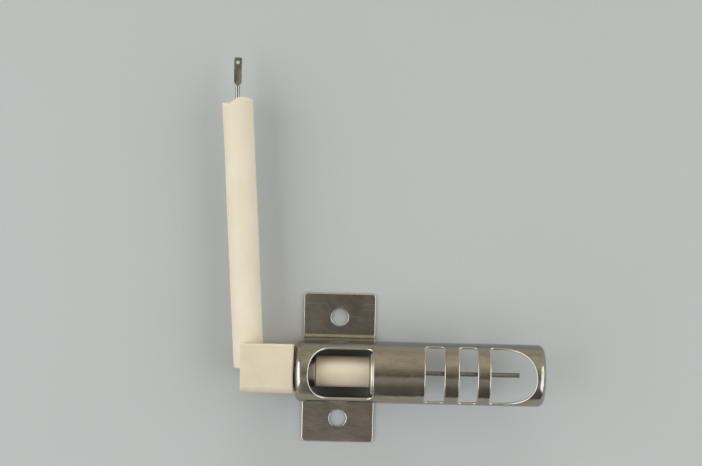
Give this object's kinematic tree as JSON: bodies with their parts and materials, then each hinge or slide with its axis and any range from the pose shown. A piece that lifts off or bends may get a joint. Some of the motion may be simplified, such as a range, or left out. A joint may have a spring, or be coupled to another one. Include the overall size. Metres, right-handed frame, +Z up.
{
  "type": "ignition electrode",
  "caption": "Spark rod in a ceramic insulator under a slotted sheet-metal shield with flat screw ears; the rod turns sideways through a loose soft sleeve to a tab terminal.",
  "frame": {"origin": "on the mounting face under the ears, midway between the two screw holes", "axes": "+X along the spark rod towards its tip, +Y along the lead towards its terminal, +Z up from the mounting face to the shield's crown"},
  "size_m": [0.1004, 0.1187, 0.019],
  "materials": {
    "stainless": "bright rolled stainless sheet, lightly scratched",
    "cap_steel": "drawn stainless sheet",
    "ceramic": "cream, unglazed and pressed",
    "mica": "pressed mica ring",
    "rod_alloy": "drawn heat-resisting wire, grey",
    "spring_steel": "blued spring steel",
    "silicone": "cream silicone tube, matt, cut by hand"
  },
  "bodies": {
    "igniter": {"shield": "stainless", "rear_cap": "cap_steel", "front_support": "cap_steel", "insulator_stem": "ceramic", "insulator_head": "ceramic", "head_gasket": "mica", "rod_retainer": "spring_steel", "spark_rod": "rod_alloy"},
    "sleeve": {"lead_sleeve": "silicone"}
  },
  "joints": [
    {"name": "sleeve_slide", "type": "slide", "parent": "igniter", "child": "sleeve", "axis": [-0.0621, 0.9981, 0], "range_m": [0, 0.012]}
  ]
}
